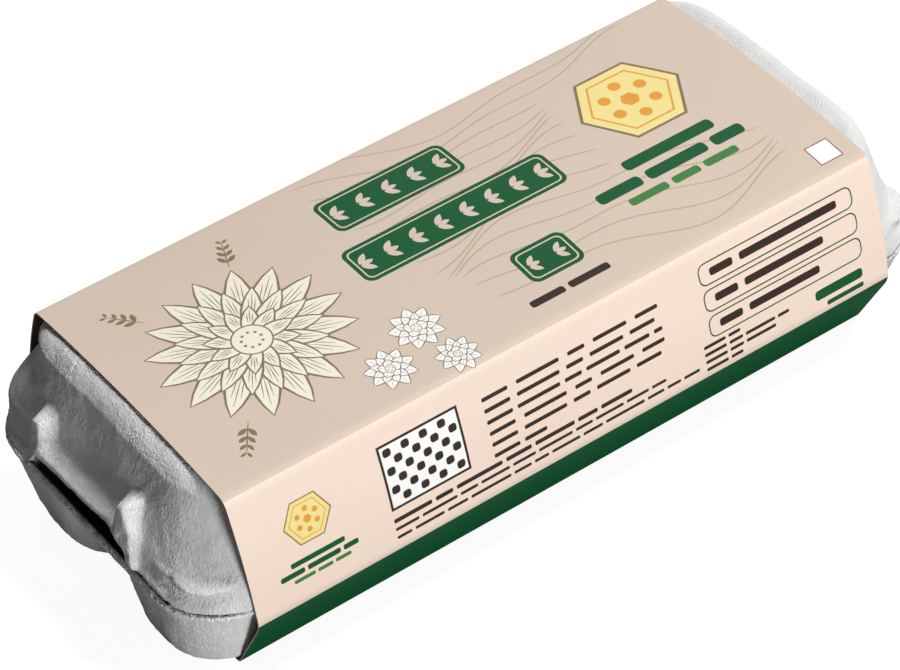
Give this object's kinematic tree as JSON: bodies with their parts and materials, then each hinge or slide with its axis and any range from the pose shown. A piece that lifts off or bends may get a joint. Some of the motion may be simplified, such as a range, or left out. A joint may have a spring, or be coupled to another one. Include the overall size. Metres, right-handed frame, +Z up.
{
  "type": "egg carton with eggs",
  "caption": "Shut grey moulded pulp egg carton, lid over tray, held shut by a printed card wrap that is open at both ends",
  "frame": {"origin": "on the ground under the middle of the pack", "axes": "+X along the pack towards its right end, +Y towards the back, +Z up"},
  "size_m": [0.2704, 0.1198, 0.0685],
  "materials": {
    "card": "smooth printed card, tan top, peach sides, dark green lower sides, brown kraft inside",
    "pulp": "rough grey moulded paper pulp with visible fibres"
  },
  "bodies": {
    "root": {"card_wrap": "card", "carton_lid": "pulp", "carton_tray": "pulp"}
  },
  "joints": []
}
